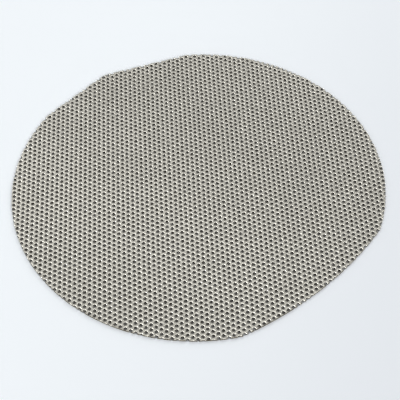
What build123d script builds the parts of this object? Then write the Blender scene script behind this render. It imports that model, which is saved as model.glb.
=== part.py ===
from build123d import *
from math import ceil, pi, sin, sqrt
import os

# A sieve disc: one flat round of perforated sheet steel, cut from a larger sheet,
# so that the rim runs through the outermost holes. Z is up, the underside is at z = 0,
# the columns of holes run along Y, and the origin is the centre of the round.

# Blank
disc_diameter = 171.0
sheet_thickness = 0.6

# Perforation of the real sheet: round holes, each row staggered at 60 degrees
round_hole_diameter = 1.5
round_hole_pitch = 2.5

# One drawn hole stands for a group of round holes, with the same share of open area
round_holes_in_group = 14
drawn_hole_sides = 8

# Front right of the rim, trimmed to a shallow arc inside the round
front_trim_direction = -51.0
front_trim_depth = 5.6
front_trim_radius = 165.0

# Back left of the rim, trimmed by two short straight snips
back_snip_direction = 105.0
back_snip_depth = 2.5
left_snip_direction = 133.0
left_snip_depth = 1.8

# Sizes that follow from those above
disc_radius = disc_diameter / 2
group_scale = sqrt(round_holes_in_group)
drawn_hole_pitch = round_hole_pitch * group_scale
drawn_hole_area = pi * (round_hole_diameter * group_scale / 2) ** 2
half_corner_angle = 180 / drawn_hole_sides


def shallow_arc(outline, direction, depth, radius):
    """The outline kept inside an arc that cuts depth into the rim on one side."""
    arc_centre = disc_radius - depth - radius
    return outline & (Rot(Z=direction) * Pos(X=arc_centre) * Circle(radius))


def straight_snip(outline, direction, depth):
    """The outline kept behind a straight line that cuts depth into the rim."""
    kept_side = Rectangle(2 * disc_diameter, 2 * disc_diameter, align=(Align.MAX, Align.CENTER))
    return outline & (Rot(Z=direction) * Pos(X=disc_radius - depth) * kept_side)


def rim_outline():
    """The round, with the stretches of its rim that were trimmed by hand."""
    outline = Circle(disc_radius)
    outline = shallow_arc(outline, front_trim_direction, front_trim_depth, front_trim_radius)
    outline = straight_snip(outline, back_snip_direction, back_snip_depth)
    return straight_snip(outline, left_snip_direction, left_snip_depth)


def hole_corner_radius():
    """Corner radius of a regular polygon that has the area of one drawn hole."""
    corner_angle = 2 * pi / drawn_hole_sides
    return sqrt(2 * drawn_hole_area / (drawn_hole_sides * sin(corner_angle)))


def hole_outline():
    """One drawn hole, with a flat side towards each neighbour in its column."""
    return Rot(Z=half_corner_angle) * RegularPolygon(hole_corner_radius(), drawn_hole_sides)


def hole_places():
    """Places of every hole that lies on the round or is cut by its rim."""
    column_spacing = drawn_hole_pitch * sqrt(3) / 2
    columns = 2 * ceil(disc_radius / column_spacing) + 1
    rows = 2 * ceil(disc_radius / drawn_hole_pitch) + 1
    reach = disc_radius + hole_corner_radius()
    pattern = HexLocations(drawn_hole_pitch / 2, columns, rows)
    return [place for place in pattern if place.position.length < reach]


def sieve_plate():
    """The perforated disc as one solid."""
    hole = hole_outline()
    sheet = rim_outline() - [place * hole for place in hole_places()]
    return extrude(sheet, sheet_thickness, clean=False)


plate = sieve_plate()
plate.label = "sieve_plate"
os.makedirs("parts", exist_ok=True)
export_step(plate, "parts/sieve_plate.step")
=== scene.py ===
"""A sieve disc: one flat round of perforated sheet steel on a pale studio floor."""

import math

import bpy
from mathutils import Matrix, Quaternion, Vector


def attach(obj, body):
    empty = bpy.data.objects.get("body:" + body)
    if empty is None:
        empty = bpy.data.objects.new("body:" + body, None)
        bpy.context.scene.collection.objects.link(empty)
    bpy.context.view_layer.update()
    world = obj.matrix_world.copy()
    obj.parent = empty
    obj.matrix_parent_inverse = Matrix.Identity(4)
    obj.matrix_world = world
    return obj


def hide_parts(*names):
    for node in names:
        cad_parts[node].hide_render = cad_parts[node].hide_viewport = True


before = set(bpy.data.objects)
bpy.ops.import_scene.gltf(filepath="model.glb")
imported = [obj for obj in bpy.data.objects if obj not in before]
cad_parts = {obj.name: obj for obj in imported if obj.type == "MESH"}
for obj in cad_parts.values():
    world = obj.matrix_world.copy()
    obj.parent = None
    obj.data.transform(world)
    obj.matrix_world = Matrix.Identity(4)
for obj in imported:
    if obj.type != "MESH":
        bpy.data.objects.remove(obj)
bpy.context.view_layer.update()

MM = 0.001

# Round and its trimmed rim, as in the part's source
DISC_RADIUS = 85.45 * MM
SHEET_THICKNESS = 0.6 * MM
FRONT_TRIM_DIRECTION = math.radians(-51)
FRONT_TRIM_DEPTH = 5.6 * MM
FRONT_TRIM_RADIUS = 165 * MM
BACK_SNIP_DIRECTION = math.radians(105)
BACK_SNIP_DEPTH = 2.5 * MM
LEFT_SNIP_DIRECTION = math.radians(133)
LEFT_SNIP_DEPTH = 1.8 * MM
RIM_POINTS = 360

# Perforation: round holes in columns along Y, every other column half a pitch up
HOLE_DIAMETER = 1.5 * MM
HOLE_PITCH = 2.5 * MM
HOLE_SIDES = 10
FIRST_HOLE_X = 0.15 * MM
FIRST_HOLE_Y = 0.35 * MM
COLUMN_SPACING = HOLE_PITCH * math.sqrt(3) / 2

# A hole is drawn with ten corners, at the area of the round one
HALF_SIDE = math.pi / HOLE_SIDES
HOLE_CORNER_RADIUS = HOLE_DIAMETER / 2 * math.sqrt(2 * HALF_SIDE / math.sin(2 * HALF_SIDE))

# The two flat faces between a hole and its neighbours at 30, 90 and -30 degrees: each corner
# by the direction of its hole from the first (None is the first) and its own from there
UPPER_LAND = (
    (None, 90), (None, 54), (None, 18), (30, 198), (30, 162), (90, 342), (90, 306), (90, 270),
)
LOWER_LAND = (
    (None, 18), (None, 342), (-30, 162), (-30, 126), (-30, 90), (30, 270), (30, 234), (30, 198),
)

# A steeper fold than this between two faces is a crisp edge
CRISP_ANGLE = math.radians(50)
MERGE_DISTANCE = 0.0001 * MM
# Least cosine of the turn away from a snip's middle, where its straight line meets the rim
LEAST_SNIP_COSINE = 0.1

# What the sheet is made from, by the names of the inputs of its tree
SHEET_SIZES = {
    "Disc radius": DISC_RADIUS,
    "Sheet thickness": SHEET_THICKNESS,
    "Rim points": RIM_POINTS,
    "Front trim direction": FRONT_TRIM_DIRECTION,
    "Front trim depth": FRONT_TRIM_DEPTH,
    "Front trim radius": FRONT_TRIM_RADIUS,
    "Back snip direction": BACK_SNIP_DIRECTION,
    "Back snip depth": BACK_SNIP_DEPTH,
    "Left snip direction": LEFT_SNIP_DIRECTION,
    "Left snip depth": LEFT_SNIP_DEPTH,
    "Hole pitch": HOLE_PITCH,
    "Corner radius": HOLE_CORNER_RADIUS,
    "First hole X": FIRST_HOLE_X,
    "First hole Y": FIRST_HOLE_Y,
}

# Finish: the lip is the raised ring round each hole, and the land is the flat sheet between
LIP_WIDTH = 0.3 * MM
LIP_HEIGHT = 0.11 * MM
LAND_COLOUR = (0.665, 0.647, 0.582, 1.0)
# The stain colour is also the painted shade on the back right of the sheet
STAIN_AND_PAINTED_SHADE_COLOUR = (0.515, 0.50, 0.449, 1.0)
GRAIN_COLOUR = (0.42, 0.405, 0.36, 1.0)
LIP_COLOUR = (0.77, 0.755, 0.70, 1.0)
# Painted shade: the walls of the holes are near black, darker than the steel they are cut in
PAINTED_SHADE_WALL_COLOUR = (0.115, 0.08, 0.03, 1.0)

# How much of its own colour the lip and the grain show
LIP_SHARE = 0.7
GRAIN_SHARE = 0.25

# Roughness of land and stain, what the grain adds to it, and what the lip takes off
LAND_ROUGHNESS = 0.55
STAIN_ROUGHNESS = 0.60
GRAIN_ROUGHNESS = 0.06
LIP_SMOOTHNESS = 0.20

# Broad soft stains
STAIN_SIZE = (30 * MM, 24 * MM, 30 * MM)
STAIN_CONTRAST = 0.5

# Fine grain drawn out along Y. Its noise colours and dulls the steel from these levels up
GRAIN_SIZE = (0.12 * MM, 2.5 * MM, 0.5 * MM)
GRAIN_DETAIL = 4.0
GRAIN_COLOURS_FROM = 0.35
GRAIN_DULLS_FROM = 0.3
GRAIN_FULL_AT = 0.8
# Height of the grain as a share of the lip's
GRAIN_HEIGHT_SHARE = 0.02

# Upward part of a face's normal: up to the first it is a wall, and from the second land
WALL_SLOPE = 0.5
LAND_SLOPE = 0.8

# Painted light and shade: the sheet's colour is a little brighter on the side that this points to,
# and darker on the other
PAINTED_LIGHT_SIDE = (-0.55, -0.85, 0.0)
PAINTED_LIGHT_REACH = 120 * MM

# Floor: painted light and shade, paler at the back left and darker at the front right, and a hair
# below the sheet
FLOOR_HALF_WIDTH = 4.0
FLOOR_DROP = 0.02 * MM
FLOOR_ROUGHNESS = 0.9
FLOOR_COLOUR = (0.862, 0.903, 0.936, 1.0)
PAINTED_SHADE_FLOOR_COLOUR = (0.69, 0.715, 0.755, 1.0)
FLOOR_SHADE_TOWARDS = (1.0, -0.45, 0.0)
FLOOR_SHADE_FROM = -0.10
FLOOR_SHADE_TO = 0.28
# What this glow adds to the floor, where the disc doesn't cover it; under the disc it has none,
# which is painted shade in the holes
FLOOR_GLOW = 0.375

# Studio lamps
STUDIO_LAMPS = (
    # name, azimuth from +X towards +Y, elevation, strength, softness in degrees
    ("low_front_lamp", 299, 22, 0.27, 12),
    ("front_lamp", 300, 35, 0.07, 16),
    ("low_back_lamp", 57, 12, 0.21, 16),
    ("side_back_lamp", 73, 20, 0.18, 20),
    ("back_lamp", 103, 35, 0.19, 24),
)

# Room round them: white walls up to the first and a dark ceiling from the second, each as
# the sine of its elevation
WALL_TOP = 0.42
CEILING_START = 0.6
CEILING_LEVEL = 0.05

# Camera
CAMERA_PLACE = Vector((-7.11, -396.65, 466.72)) * MM
CAMERA_AIM = Vector((0.40, -8.58, 0)) * MM
CAMERA_ROLL = math.radians(-2.27)
CAMERA_LENS = 120.17
CAMERA_SENSOR = 36
CAMERA_NEAR = 0.01
CAMERA_FAR = 20.0


def add_node(tree, kind, **settings):
    """A new node with its settings."""
    node = tree.nodes.new(kind)
    for name, value in settings.items():
        setattr(node, name, value)
    return node


def feed(tree, socket, value):
    """Joins value to socket, or sets it there if it is a plain number or colour."""
    if isinstance(value, bpy.types.NodeSocket):
        tree.links.new(value, socket)
    else:
        socket.default_value = value


def calc(tree, operation, *values):
    """A Math node on the values, and its result."""
    node = add_node(tree, "ShaderNodeMath", operation=operation)
    for socket, value in zip(node.inputs, values):
        feed(tree, socket, value)
    return node.outputs[0]


def vector_calc(tree, operation, *values):
    """A Vector Math node on the values, and the output that it has a result in."""
    node = add_node(tree, "ShaderNodeVectorMath", operation=operation)
    for socket, value in zip(node.inputs, values):
        feed(tree, socket, value)
    return node.outputs["Value" if operation in ("LENGTH", "DOT_PRODUCT") else "Vector"]


def place(tree, x, y, z):
    """The vector with these coordinates."""
    node = add_node(tree, "ShaderNodeCombineXYZ")
    for socket, value in zip(node.inputs, (x, y, z)):
        feed(tree, socket, value)
    return node.outputs[0]


def rim_radius(tree, sizes, position):
    """How far the trimmed rim lies from the centre, in the direction of position."""
    parts = add_node(tree, "ShaderNodeSeparateXYZ")
    feed(tree, parts.inputs[0], position)
    heading = calc(tree, "ARCTAN2", parts.outputs["Y"], parts.outputs["X"])
    radius = sizes["Disc radius"]

    turn = calc(tree, "SUBTRACT", heading, sizes["Front trim direction"])
    arc_centre = calc(tree, "SUBTRACT", radius, sizes["Front trim depth"])
    arc_centre = calc(tree, "SUBTRACT", arc_centre, sizes["Front trim radius"])
    along = calc(tree, "MULTIPLY", arc_centre, calc(tree, "COSINE", turn))
    across = calc(tree, "MULTIPLY", arc_centre, calc(tree, "SINE", turn))
    reach = calc(tree, "MULTIPLY", sizes["Front trim radius"], sizes["Front trim radius"])
    reach = calc(tree, "SUBTRACT", reach, calc(tree, "MULTIPLY", across, across))
    nearest = calc(tree, "MINIMUM", radius, calc(tree, "ADD", along, calc(tree, "SQRT", reach)))

    for snip in ("Back snip", "Left snip"):
        turn = calc(tree, "SUBTRACT", heading, sizes[snip + " direction"])
        slant = calc(tree, "MAXIMUM", calc(tree, "COSINE", turn), LEAST_SNIP_COSINE)
        chord = calc(tree, "SUBTRACT", radius, sizes[snip + " depth"])
        nearest = calc(tree, "MINIMUM", nearest, calc(tree, "DIVIDE", chord, slant))
    return nearest


def thickened(tree, flat, foot, height):
    """A closed plate from a flat mesh: foot is the level of its underside."""
    lowered = add_node(tree, "GeometryNodeTransform")
    feed(tree, lowered.inputs["Geometry"], flat)
    feed(tree, lowered.inputs["Translation"], place(tree, 0.0, 0.0, foot))
    raised = add_node(tree, "GeometryNodeExtrudeMesh", mode="FACES")
    feed(tree, raised.inputs["Mesh"], lowered.outputs[0])
    feed(tree, raised.inputs["Offset"], (0.0, 0.0, 1.0))
    feed(tree, raised.inputs["Offset Scale"], height)
    feed(tree, raised.inputs["Individual"], False)
    underside = add_node(tree, "GeometryNodeFlipFaces")
    feed(tree, underside.inputs["Mesh"], lowered.outputs[0])
    both = add_node(tree, "GeometryNodeJoinGeometry")
    feed(tree, both.inputs[0], raised.outputs["Mesh"])
    feed(tree, both.inputs[0], underside.outputs[0])
    return merged(tree, both.outputs[0])


def merged(tree, mesh):
    """The mesh with the vertices that lie in one place made one."""
    node = add_node(tree, "GeometryNodeMergeByDistance")
    feed(tree, node.inputs["Geometry"], mesh)
    feed(tree, node.inputs["Distance"], MERGE_DISTANCE)
    return node.outputs[0]


def rim_cutter(tree, sizes, position):
    """A plate three times as thick as the sheet, with the outline that the sheet is cut to."""
    round_curve = add_node(tree, "GeometryNodeCurvePrimitiveCircle", mode="RADIUS")
    feed(tree, round_curve.inputs["Resolution"], sizes["Rim points"])
    feed(tree, round_curve.inputs["Radius"], 1.0)
    at_rim = vector_calc(tree, "SCALE", position)
    feed(tree, at_rim.node.inputs["Scale"], rim_radius(tree, sizes, position))
    trimmed = add_node(tree, "GeometryNodeSetPosition")
    feed(tree, trimmed.inputs["Geometry"], round_curve.outputs["Curve"])
    feed(tree, trimmed.inputs["Position"], at_rim)
    filled = add_node(tree, "GeometryNodeFillCurve", mode="NGONS")
    feed(tree, filled.inputs["Curve"], trimmed.outputs["Geometry"])
    foot = calc(tree, "MULTIPLY", sizes["Sheet thickness"], -1.0)
    height = calc(tree, "MULTIPLY", sizes["Sheet thickness"], 3.0)
    return thickened(tree, filled.outputs["Mesh"], foot, height)


def hole_places(tree, sizes, position):
    """The centre of every hole on the disc and a little beyond, staggered column by column."""
    pitch = sizes["Hole pitch"]
    spacing = calc(tree, "MULTIPLY", pitch, math.sqrt(3) / 2)
    reach = calc(tree, "MULTIPLY_ADD", pitch, 2.0, sizes["Disc radius"])
    columns = calc(tree, "CEIL", calc(tree, "DIVIDE", reach, spacing))
    rows = calc(tree, "CEIL", calc(tree, "DIVIDE", reach, pitch))
    column_count = calc(tree, "MULTIPLY_ADD", columns, 2.0, 1.0)
    row_count = calc(tree, "MULTIPLY_ADD", rows, 2.0, 1.0)

    index = add_node(tree, "GeometryNodeInputIndex").outputs["Index"]
    column = calc(tree, "FLOOR", calc(tree, "DIVIDE", calc(tree, "ADD", index, 0.5), row_count))
    row = calc(tree, "SUBTRACT", index, calc(tree, "MULTIPLY", column, row_count))
    column = calc(tree, "SUBTRACT", column, columns)
    row = calc(tree, "SUBTRACT", row, rows)
    stagger = calc(tree, "MULTIPLY", calc(tree, "FLOORED_MODULO", column, 2.0), 0.5)
    x = calc(tree, "MULTIPLY_ADD", column, spacing, sizes["First hole X"])
    y = calc(tree, "MULTIPLY_ADD", calc(tree, "ADD", row, stagger), pitch, sizes["First hole Y"])

    places = add_node(tree, "GeometryNodePoints")
    feed(tree, places.inputs["Count"], calc(tree, "MULTIPLY", column_count, row_count))
    feed(tree, places.inputs["Position"], place(tree, x, y, 0.0))
    beyond = calc(tree, "GREATER_THAN", vector_calc(tree, "LENGTH", position), reach)
    near_disc = add_node(tree, "GeometryNodeDeleteGeometry", domain="POINT")
    feed(tree, near_disc.inputs["Geometry"], places.outputs[0])
    feed(tree, near_disc.inputs["Selection"], beyond)
    return near_disc.outputs[0]


def land_between(tree, sizes, corners):
    """The flat face between three neighbouring holes. Each of its corners is a corner of a
    hole: the direction of that hole from the first, and the corner's direction from its centre."""
    face = add_node(tree, "GeometryNodeMeshCircle", fill_type="NGON")
    feed(tree, face.inputs["Vertices"], len(corners))
    choice = add_node(tree, "GeometryNodeIndexSwitch", data_type="VECTOR")
    while len(choice.index_switch_items) < len(corners):
        choice.index_switch_items.new()
    feed(tree, choice.inputs["Index"], add_node(tree, "GeometryNodeInputIndex").outputs["Index"])
    for item, (hole_direction, corner_direction) in enumerate(corners):
        corner = vector_calc(tree, "SCALE", direction(corner_direction))
        feed(tree, corner.node.inputs["Scale"], sizes["Corner radius"])
        if hole_direction is not None:
            centre = vector_calc(tree, "SCALE", direction(hole_direction))
            feed(tree, centre.node.inputs["Scale"], sizes["Hole pitch"])
            corner = vector_calc(tree, "ADD", centre, corner)
        feed(tree, choice.inputs[item + 1], corner)
    shaped = add_node(tree, "GeometryNodeSetPosition")
    feed(tree, shaped.inputs["Geometry"], face.outputs["Mesh"])
    feed(tree, shaped.inputs["Position"], choice.outputs[0])
    return shaped.outputs["Geometry"]


def direction(degrees):
    """A unit vector in the plane of the sheet."""
    return (math.cos(math.radians(degrees)), math.sin(math.radians(degrees)), 0.0)


def perforated_sheet_tree():
    """Sheet steel with its pattern of holes, cut to the disc."""
    tree = bpy.data.node_groups.new("perforated sheet", "GeometryNodeTree")
    tree.is_modifier = True
    for name, value in SHEET_SIZES.items():
        kind = "NodeSocketInt" if isinstance(value, int) else "NodeSocketFloat"
        tree.interface.new_socket(name, in_out="INPUT", socket_type=kind)
    tree.interface.new_socket("Finish", in_out="INPUT", socket_type="NodeSocketMaterial")
    tree.interface.new_socket("Sheet", in_out="OUTPUT", socket_type="NodeSocketGeometry")
    sizes = add_node(tree, "NodeGroupInput").outputs
    position = add_node(tree, "GeometryNodeInputPosition").outputs[0]

    lands = add_node(tree, "GeometryNodeJoinGeometry")
    feed(tree, lands.inputs[0], land_between(tree, sizes, UPPER_LAND))
    feed(tree, lands.inputs[0], land_between(tree, sizes, LOWER_LAND))
    pattern = add_node(tree, "GeometryNodeInstanceOnPoints")
    feed(tree, pattern.inputs["Points"], hole_places(tree, sizes, position))
    feed(tree, pattern.inputs["Instance"], lands.outputs[0])
    whole = add_node(tree, "GeometryNodeRealizeInstances")
    feed(tree, whole.inputs["Geometry"], pattern.outputs["Instances"])
    flat = merged(tree, whole.outputs["Geometry"])
    sheet = thickened(tree, flat, 0.0, sizes["Sheet thickness"])

    cut = add_node(tree, "GeometryNodeMeshBoolean", operation="INTERSECT", solver="MANIFOLD")
    feed(tree, cut.inputs["Mesh 2"], sheet)
    feed(tree, cut.inputs["Mesh 2"], rim_cutter(tree, sizes, position))

    # The walls look round, and the edges between them and the faces stay crisp
    smooth = add_node(tree, "GeometryNodeSetShadeSmooth", domain="FACE")
    feed(tree, smooth.inputs["Geometry"], cut.outputs["Mesh"])
    feed(tree, smooth.inputs["Shade Smooth"], True)
    angle = add_node(tree, "GeometryNodeInputMeshEdgeAngle").outputs["Unsigned Angle"]
    crisp = add_node(tree, "GeometryNodeSetShadeSmooth", domain="EDGE")
    feed(tree, crisp.inputs["Geometry"], smooth.outputs[0])
    feed(tree, crisp.inputs["Selection"], calc(tree, "GREATER_THAN", angle, CRISP_ANGLE))
    feed(tree, crisp.inputs["Shade Smooth"], False)

    real = add_node(tree, "GeometryNodeRealizeInstances")
    feed(tree, real.inputs["Geometry"], crisp.outputs[0])
    finished = add_node(tree, "GeometryNodeSetMaterial")
    feed(tree, finished.inputs["Geometry"], real.outputs["Geometry"])
    feed(tree, finished.inputs["Material"], sizes["Finish"])
    result = add_node(tree, "NodeGroupOutput")
    feed(tree, result.inputs["Sheet"], finished.outputs["Geometry"])
    return tree


def plain_mesh_from(tree, inputs, name):
    """Runs the tree with its inputs on an empty object, and keeps the result as a plain mesh."""
    carrier = bpy.data.objects.new(name + "_tree", bpy.data.meshes.new(name + "_tree"))
    bpy.context.scene.collection.objects.link(carrier)
    modifier = carrier.modifiers.new("tree", "NODES")
    modifier.node_group = tree
    for item in tree.interface.items_tree:
        if item.in_out == "INPUT":
            modifier[item.identifier] = inputs[item.name]
    evaluated = carrier.evaluated_get(bpy.context.evaluated_depsgraph_get())
    mesh = bpy.data.meshes.new_from_object(evaluated)
    mesh.name = name
    carrier.modifiers.remove(modifier)
    bpy.data.objects.remove(carrier)
    piece = bpy.data.objects.new(name, mesh)
    bpy.context.scene.collection.objects.link(piece)
    return piece


def hole_distance(tree, position):
    """Distance to the centre of the nearest hole, from the same pattern as the holes."""
    cell = (COLUMN_SPACING, HOLE_PITCH / 2, 1.0)
    found = []
    for shift in ((0.0, 0.0), (COLUMN_SPACING, HOLE_PITCH / 2)):
        offset = (-FIRST_HOLE_X - shift[0], -FIRST_HOLE_Y - shift[1], 0.0)
        moved = vector_calc(tree, "MULTIPLY_ADD", position, (1.0, 1.0, 0.0), offset)
        low = tuple(-side for side in cell)
        wrapped = vector_calc(tree, "WRAP", moved, cell, low)
        found.append(vector_calc(tree, "LENGTH", wrapped))
    return calc(tree, "MINIMUM", *found)


def between(tree, value, start, end, low=0.0, high=1.0):
    """Value's place between start and end, eased in and out, as a number from low to high."""
    node = add_node(tree, "ShaderNodeMapRange", interpolation_type="SMOOTHSTEP")
    for name, number in (
        ("Value", value), ("From Min", start), ("From Max", end), ("To Min", low), ("To Max", high),
    ):
        feed(tree, node.inputs[name], number)
    return node.outputs["Result"]


def blended(tree, share, first, second):
    """The first colour where share is 0, the second where it is 1."""
    node = add_node(tree, "ShaderNodeMix", data_type="RGBA")
    feed(tree, node.inputs["Factor"], share)
    # A Mix node has sockets of each type under the same names: these are the colours
    feed(tree, node.inputs[6], first)
    feed(tree, node.inputs[7], second)
    return node.outputs[2]


def speckle(tree, position, spot, detail=2.0):
    """Noise with spots of that size along X, Y and Z, as a number round a half."""
    stretched = vector_calc(tree, "DIVIDE", position, spot)
    node = add_node(tree, "ShaderNodeTexNoise")
    feed(tree, node.inputs["Vector"], stretched)
    feed(tree, node.inputs["Scale"], 1.0)
    feed(tree, node.inputs["Detail"], detail)
    return node.outputs["Fac"]


def steel_finish():
    """Dull mill finish, with a raised and brighter lip round each hole, painted shade on the walls
    of the holes, and painted light that makes one side of the sheet brighter.
    """
    material = bpy.data.materials.new("dull_sheet_steel")
    material.use_nodes = True
    tree = material.node_tree
    shader = tree.nodes["Principled BSDF"]
    position = add_node(tree, "ShaderNodeTexCoord").outputs["Object"]
    facing = add_node(tree, "ShaderNodeSeparateXYZ")
    feed(tree, facing.inputs[0], add_node(tree, "ShaderNodeNewGeometry").outputs["True Normal"])
    upward = calc(tree, "ABSOLUTE", facing.outputs["Z"])
    # Painted shade on the walls of the holes, picked out by how little their normal points up
    painted_shade_walls = between(tree, upward, WALL_SLOPE, LAND_SLOPE, 1.0, 0.0)
    from_hole = hole_distance(tree, position)
    hole_edge = HOLE_DIAMETER / 2
    lip = between(tree, from_hole, hole_edge, hole_edge + LIP_WIDTH, 1.0, 0.0)

    # Painted light and shade: the stains lean to the land colour on the front left and to the stain
    # colour on the back right
    side = vector_calc(tree, "DOT_PRODUCT", position, PAINTED_LIGHT_SIDE)
    side = calc(tree, "DIVIDE", side, PAINTED_LIGHT_REACH)
    stain_and_painted_light = speckle(tree, position, STAIN_SIZE)
    stain_and_painted_light = calc(tree, "MULTIPLY_ADD", stain_and_painted_light, STAIN_CONTRAST, (1 - STAIN_CONTRAST) / 2)
    stain_and_painted_light = calc(tree, "SUBTRACT", stain_and_painted_light, side)
    grain = speckle(tree, position, GRAIN_SIZE, GRAIN_DETAIL)
    marks = between(tree, grain, GRAIN_COLOURS_FROM, GRAIN_FULL_AT, 0.0, GRAIN_SHARE)
    land = blended(tree, between(tree, stain_and_painted_light, 0.0, 1.0), LAND_COLOUR, STAIN_AND_PAINTED_SHADE_COLOUR)
    land = blended(tree, marks, land, GRAIN_COLOUR)
    land = blended(tree, calc(tree, "MULTIPLY", lip, LIP_SHARE), land, LIP_COLOUR)
    feed(tree, shader.inputs["Base Color"], blended(tree, painted_shade_walls, land, PAINTED_SHADE_WALL_COLOUR))
    feed(tree, shader.inputs["Metallic"], 1.0)
    dull = between(tree, stain_and_painted_light, 0.0, 1.0, LAND_ROUGHNESS, STAIN_ROUGHNESS)
    marks = between(tree, grain, GRAIN_DULLS_FROM, GRAIN_FULL_AT, 0.0, GRAIN_ROUGHNESS)
    dull = calc(tree, "ADD", dull, marks)
    feed(tree, shader.inputs["Roughness"], calc(tree, "MULTIPLY_ADD", lip, -LIP_SMOOTHNESS, dull))

    relief = add_node(tree, "ShaderNodeBump")
    feed(tree, relief.inputs["Distance"], LIP_HEIGHT)
    grain_height = calc(tree, "MULTIPLY", grain, GRAIN_HEIGHT_SHARE)
    feed(tree, relief.inputs["Height"], calc(tree, "ADD", lip, grain_height))
    feed(tree, shader.inputs["Normal"], relief.outputs["Normal"])
    return material


def studio_floor():
    """A pale floor, with painted shade towards the front right. Outside the rim of the disc
    it also has a glow that lights nothing, and what shows through the holes has none: painted shade
    under the disc."""
    half = FLOOR_HALF_WIDTH
    mesh = bpy.data.meshes.new("studio_floor")
    corners = [(-half, -half, 0), (half, -half, 0), (half, half, 0), (-half, half, 0)]
    mesh.from_pydata(corners, [], [(0, 1, 2, 3)])
    floor = bpy.data.objects.new("studio_floor", mesh)
    floor.location.z = -FLOOR_DROP
    bpy.context.scene.collection.objects.link(floor)
    material = bpy.data.materials.new("pale_floor")
    material.use_nodes = True
    tree = material.node_tree
    shader = tree.nodes["Principled BSDF"]
    position = add_node(tree, "ShaderNodeTexCoord").outputs["Object"]
    # Painted shade: the floor's colour darkens towards the front right
    along = vector_calc(tree, "DOT_PRODUCT", position, FLOOR_SHADE_TOWARDS)
    dull = between(tree, along, FLOOR_SHADE_FROM, FLOOR_SHADE_TO)
    colour = blended(tree, dull, FLOOR_COLOUR, PAINTED_SHADE_FLOOR_COLOUR)
    feed(tree, shader.inputs["Base Color"], colour)
    feed(tree, shader.inputs["Roughness"], FLOOR_ROUGHNESS)
    feed(tree, shader.inputs["Specular IOR Level"], 0.0)

    ray = add_node(tree, "ShaderNodeLightPath").outputs
    seen = calc(tree, "MAXIMUM", ray["Is Camera Ray"], ray["Is Glossy Ray"])
    seen = calc(tree, "MAXIMUM", seen, ray["Is Transmission Ray"])
    # Painted shade under the disc: the glow stops at the rim, so the floor seen through the holes
    # stays dark
    from_centre = vector_calc(tree, "LENGTH", position)
    beyond = calc(tree, "GREATER_THAN", from_centre, rim_radius(tree, SHEET_SIZES, position))
    glow = calc(tree, "MULTIPLY", calc(tree, "MULTIPLY", seen, beyond), FLOOR_GLOW)
    feed(tree, shader.inputs["Emission Color"], colour)
    feed(tree, shader.inputs["Emission Strength"], glow)
    mesh.materials.append(material)


def studio_lamp(name, azimuth, elevation, strength, softness):
    """A soft lamp far away: strength is what it gives a white floor if it shines straight down."""
    lamp = bpy.data.lights.new(name, "SUN")
    lamp.energy = strength * math.pi
    lamp.angle = math.radians(softness)
    azimuth, elevation = math.radians(azimuth), math.radians(elevation)
    towards = Vector((
        math.cos(azimuth) * math.cos(elevation),
        math.sin(azimuth) * math.cos(elevation),
        math.sin(elevation),
    ))
    holder = bpy.data.objects.new(name, lamp)
    holder.rotation_mode = "QUATERNION"
    holder.rotation_quaternion = towards.to_track_quat("Z", "Y")
    bpy.context.scene.collection.objects.link(holder)


def studio_light():
    """Soft lamps in front and behind, in a room with white walls and a dark ceiling."""
    for lamp in STUDIO_LAMPS:
        studio_lamp(*lamp)

    world = bpy.data.worlds.new("studio_room")
    bpy.context.scene.world = world
    world.use_nodes = True
    tree = world.node_tree
    background = tree.nodes["Background"]
    direction_seen = add_node(tree, "ShaderNodeTexCoord").outputs["Generated"]
    parts = add_node(tree, "ShaderNodeSeparateXYZ")
    feed(tree, parts.inputs[0], direction_seen)
    brightness = between(tree, parts.outputs["Z"], WALL_TOP, CEILING_START, 1.0, CEILING_LEVEL)
    feed(tree, background.inputs["Color"], (1.0, 1.0, 1.0, 1.0))
    feed(tree, background.inputs["Strength"], brightness)


def studio_camera():
    """The camera, at the photograph's angle and with its long lens."""
    lens = bpy.data.cameras.new("studio_camera")
    lens.lens = CAMERA_LENS
    lens.sensor_width = CAMERA_SENSOR
    lens.clip_start, lens.clip_end = CAMERA_NEAR, CAMERA_FAR
    camera = bpy.data.objects.new("studio_camera", lens)
    camera.location = CAMERA_PLACE
    camera.rotation_mode = "QUATERNION"
    upright = (CAMERA_AIM - CAMERA_PLACE).to_track_quat("-Z", "Y")
    camera.rotation_quaternion = upright @ Quaternion((0, 0, 1), CAMERA_ROLL)
    bpy.context.scene.collection.objects.link(camera)
    bpy.context.scene.camera = camera


bpy.context.scene.view_settings.view_transform = "Standard"
studio_camera()
studio_floor()
studio_light()

sheet_inputs = dict(SHEET_SIZES, Finish=steel_finish())
sieve = plain_mesh_from(perforated_sheet_tree(), sheet_inputs, "perforated_disc")
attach(sieve, "root")
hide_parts("sieve_plate")
